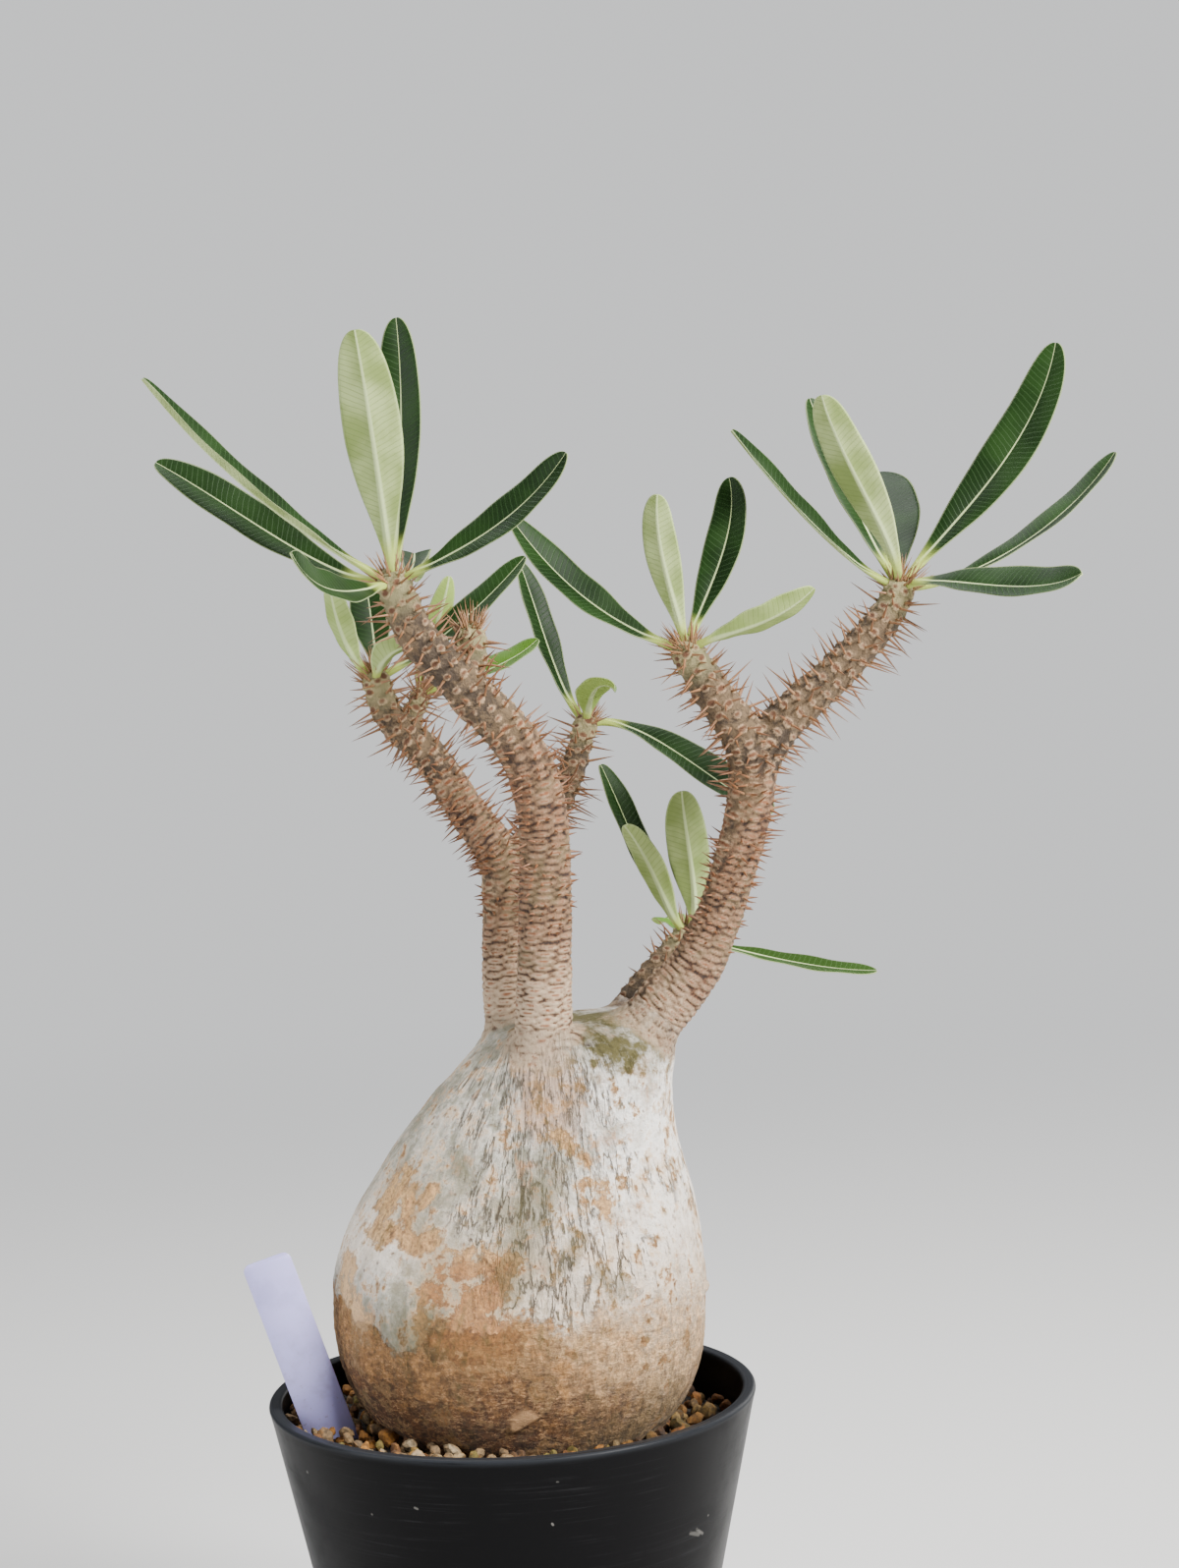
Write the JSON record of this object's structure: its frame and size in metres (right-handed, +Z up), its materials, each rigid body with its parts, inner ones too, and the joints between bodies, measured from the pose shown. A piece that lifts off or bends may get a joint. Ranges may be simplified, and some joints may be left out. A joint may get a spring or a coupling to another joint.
{
  "type": "potted pachypodium",
  "caption": "Caudex plant with a swollen silvery base, forked spiny stems and long narrow leaves, standing in a round black plastic pot of coarse grit with a bare plant label.",
  "frame": {"origin": "centre of the pot's base, on the surface that it stands on", "axes": "+Z up along the pot's axis; the plant is seen from its front along +Y, with +X to the right"},
  "size_m": [0.2931, 0.1494, 0.4482],
  "materials": {
    "pot": "satin",
    "grit": "matte",
    "label": "satin",
    "caudex": "matte",
    "stem": "matte",
    "leaf": "satin"
  },
  "bodies": {
    "root": {"pot": "pot", "grit": "grit", "label": "label", "caudex": "caudex", "stem_front_left": "stem", "stem_back_left": "stem", "stem_right": "stem", "stem_low_right": "stem", "leaf_front_left_1": "leaf", "leaf_front_left_2": "leaf", "leaf_front_left_3": "leaf", "leaf_front_left_4": "leaf", "leaf_front_left_5": "leaf", "leaf_front_left_6": "leaf", "leaf_front_left_7": "leaf", "leaf_back_left_1": "leaf", "leaf_back_left_2": "leaf", "leaf_back_left_3": "leaf", "leaf_back_left_4": "leaf", "leaf_back_bud_1": "leaf", "leaf_back_bud_2": "leaf", "leaf_back_middle_1": "leaf", "leaf_back_middle_2": "leaf", "leaf_back_middle_3": "leaf", "leaf_right_inner_1": "leaf", "leaf_right_inner_2": "leaf", "leaf_right_inner_3": "leaf", "leaf_right_inner_4": "leaf", "leaf_right_outer_1": "leaf", "leaf_right_outer_2": "leaf", "leaf_right_outer_3": "leaf", "leaf_right_outer_4": "leaf", "leaf_right_outer_5": "leaf", "leaf_right_outer_6": "leaf", "leaf_right_outer_7": "leaf", "leaf_low_right_1": "leaf", "leaf_low_right_2": "leaf", "leaf_low_right_3": "leaf", "leaf_low_right_4": "leaf", "leaf_low_right_5": "leaf"}
  },
  "joints": []
}
